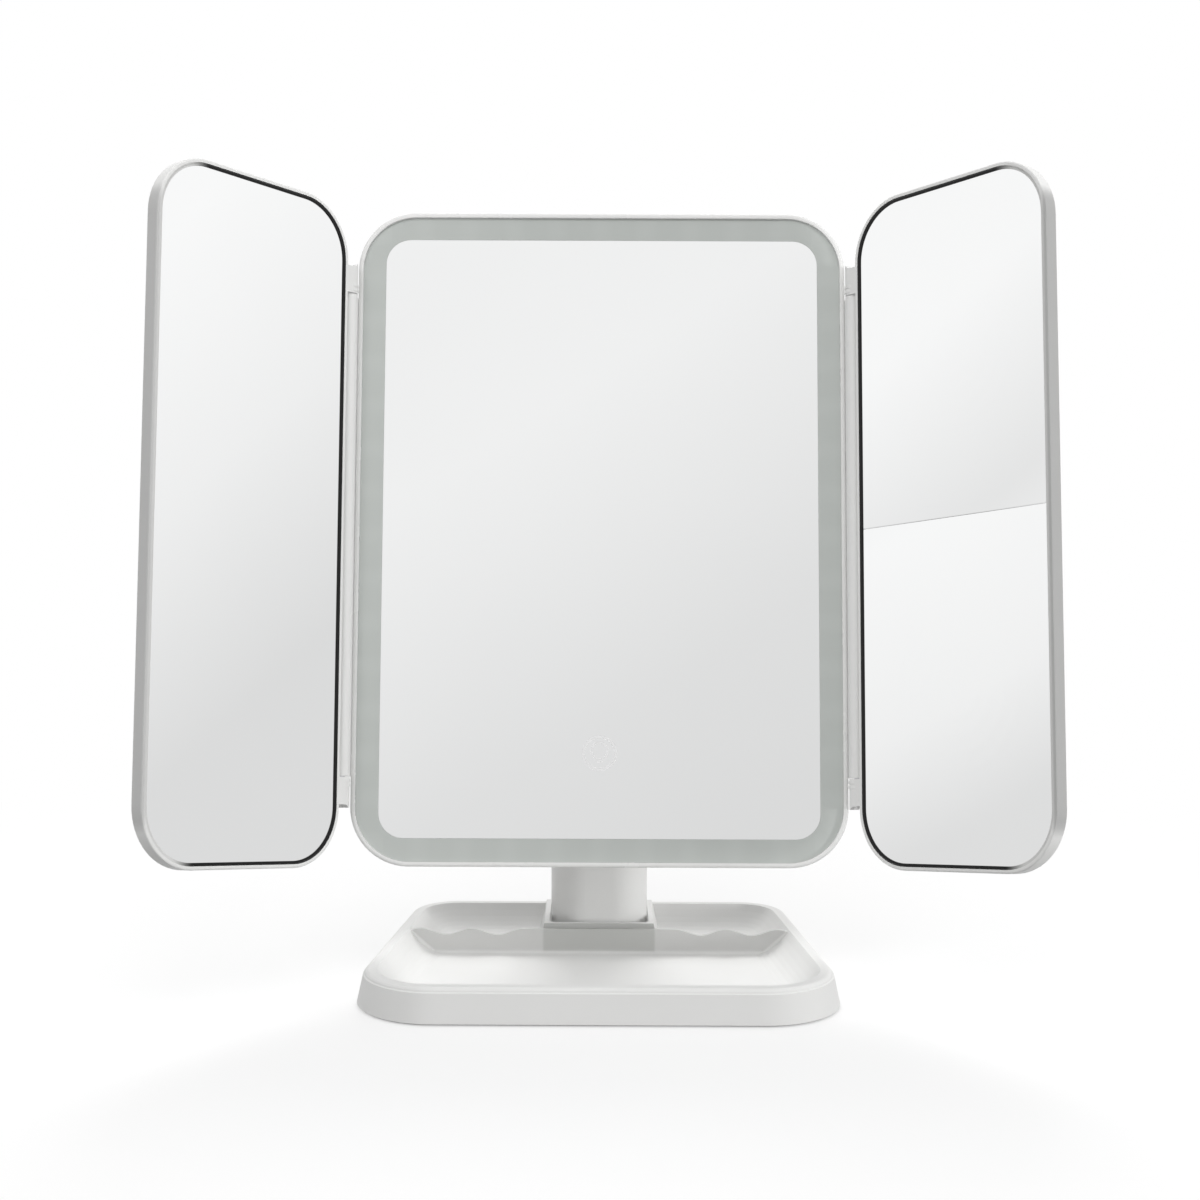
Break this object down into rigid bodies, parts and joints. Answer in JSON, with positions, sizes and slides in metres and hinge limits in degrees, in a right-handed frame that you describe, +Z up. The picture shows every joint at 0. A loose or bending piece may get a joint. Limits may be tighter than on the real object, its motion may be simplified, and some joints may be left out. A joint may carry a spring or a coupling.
{
  "type": "trifold vanity mirror",
  "caption": "Free-standing three-panel vanity mirror: lit centre mirror with touch control, folding side mirrors, tilting head on a flat neck and a tray base with a scalloped divider.",
  "frame": {"origin": "middle of the underside of the base's anti-slip pad, on the floor", "axes": "+Z up, the mirror faces -Y, +X to the viewer's right"},
  "size_m": [0.298, 0.1477, 0.2875],
  "materials": {
    "white_shell": "satin",
    "white_base": "satin",
    "frosted": "frosted",
    "mirror": "silvered",
    "black_seal": "matte",
    "foam": "matte",
    "steel": "satin",
    "brass": "satin",
    "nylon": "matte",
    "board": "satin",
    "black_part": "matte",
    "led": "clear",
    "strip": "matte",
    "cell": "satin",
    "lead": "satin"
  },
  "bodies": {
    "base": {"base_shell": "white_base", "weight_plate": "steel", "antislip_pad": "foam", "base_screws": "steel", "neck_column": "white_shell", "neck_screws": "steel", "tilt_bush": "brass"},
    "head": {"rear_housing": "white_shell", "front_frame": "white_shell", "light_band": "frosted", "centre_mirror": "mirror", "middle_plate": "white_shell", "led_strip": "strip", "leds": "led", "control_board": "board", "board_parts": "black_part", "touch_electrode": "brass", "usb_inlet": "steel", "switch_body": "black_part", "aa_cells": "cell", "battery_contacts": "steel", "battery_leads": "lead", "housing_screws": "steel", "tilt_bracket": "white_shell", "bracket_screws": "steel", "tilt_axle": "steel", "tilt_washers": "nylon", "tilt_nut": "steel", "tilt_caps": "white_shell", "left_hinge_pins": "steel", "right_hinge_pins": "steel"},
    "left_wing": {"left_wing_shell": "white_shell", "left_wing_mirror": "mirror", "left_wing_seal": "black_seal", "left_wing_pad": "foam"},
    "right_wing": {"right_wing_shell": "white_shell", "right_upper_mirror": "mirror", "right_lower_mirror": "mirror", "right_wing_seal": "black_seal", "right_wing_pad": "foam"},
    "power_switch": {"power_switch_knob": "black_part"},
    "battery_cover": {"battery_door": "white_shell"}
  },
  "joints": [
    {"name": "head_tilt", "type": "hinge", "parent": "base", "child": "head", "pos_m": [0, 0.0335, 0.112], "axis": [-1, 0, 0], "range_deg": [-15, 60]},
    {"name": "left_wing_fold", "type": "hinge", "parent": "head", "child": "left_wing", "pos_m": [-0.091, 0.00529, 0.15991], "axis": [0, 0.2079, 0.9781], "range_deg": [-51.5, 128.5]},
    {"name": "right_wing_fold", "type": "hinge", "parent": "head", "child": "right_wing", "pos_m": [0.091, 0.00529, 0.15991], "axis": [0, -0.2079, -0.9781], "range_deg": [-51.5, 128.5]},
    {"name": "power_switch_slide", "type": "slide", "parent": "head", "child": "power_switch", "axis": [1, 0, 0], "range_m": [0, 0.003]},
    {"name": "battery_door_slide", "type": "slide", "parent": "head", "child": "battery_cover", "axis": [0, 0.2079, 0.9781], "range_m": [0, 0.012]}
  ]
}
